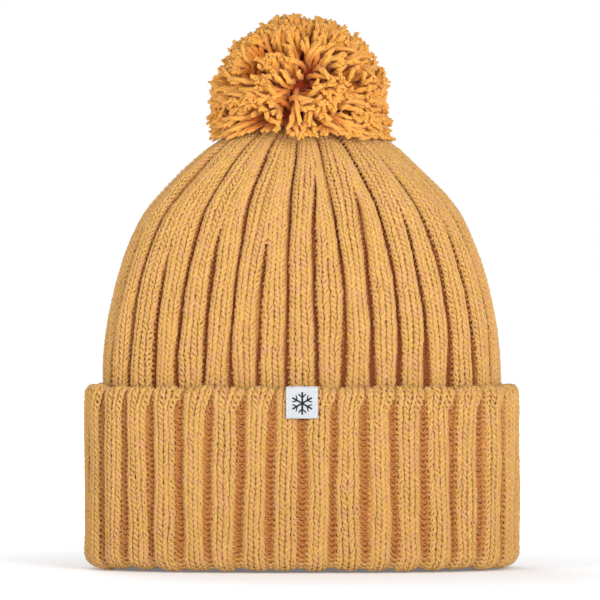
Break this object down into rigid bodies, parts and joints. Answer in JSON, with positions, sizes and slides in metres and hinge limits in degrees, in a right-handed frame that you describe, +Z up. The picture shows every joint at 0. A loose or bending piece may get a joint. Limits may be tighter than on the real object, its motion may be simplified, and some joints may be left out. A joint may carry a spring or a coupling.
{
  "type": "knit beanie",
  "caption": "Chunky rib-knit beanie with a turned-up cuff, a blank woven label and a yarn pompom that leans and turns on its cord.",
  "frame": {"origin": "centre of the rim, on the plane the hat rests on", "axes": "+Z up through the crown to the pompom, -Y towards the front with the woven label, +X to the wearer's left"},
  "size_m": [0.2252, 0.1304, 0.2876],
  "materials": {
    "rib_knit": "brushed wool-blend rib knit, ochre heather yarn",
    "pompom_yarn": "cut fluffy yarn, ochre heather",
    "cord": "plied yarn",
    "woven_label": "white damask-woven tape, folded",
    "care_tape": "white satin tape",
    "thread": "white sewing thread"
  },
  "bodies": {
    "hat": {"knit_crown": "rib_knit", "turned_cuff": "rib_knit", "gather_cord": "cord", "back_seam": "cord", "cuff_label": "woven_label", "label_stitches": "thread", "care_label_stitches": "thread"},
    "cord_end": {"tie_knot": "cord"},
    "ball": {"pompom": "pompom_yarn", "pompom_tie": "cord"},
    "care_flap": {"care_label": "care_tape"}
  },
  "joints": [
    {"name": "pompom_turn", "type": "hinge", "parent": "hat", "child": "cord_end", "pos_m": [0, 0, 0.236], "axis": [0, 0, 1], "range_deg": [-90, 90], "stiffness_Nm_per_rad": 0.01},
    {"name": "pompom_lean", "type": "hinge", "parent": "cord_end", "child": "ball", "pos_m": [0, 0, 0.236], "axis": [0, 1, 0], "range_deg": [-12, 12], "stiffness_Nm_per_rad": 0.05},
    {"name": "care_label_flip", "type": "hinge", "parent": "hat", "child": "care_flap", "pos_m": [0.014, 0.0464, 0.072], "axis": [-1, 0, 0], "range_deg": [0, 120]}
  ]
}
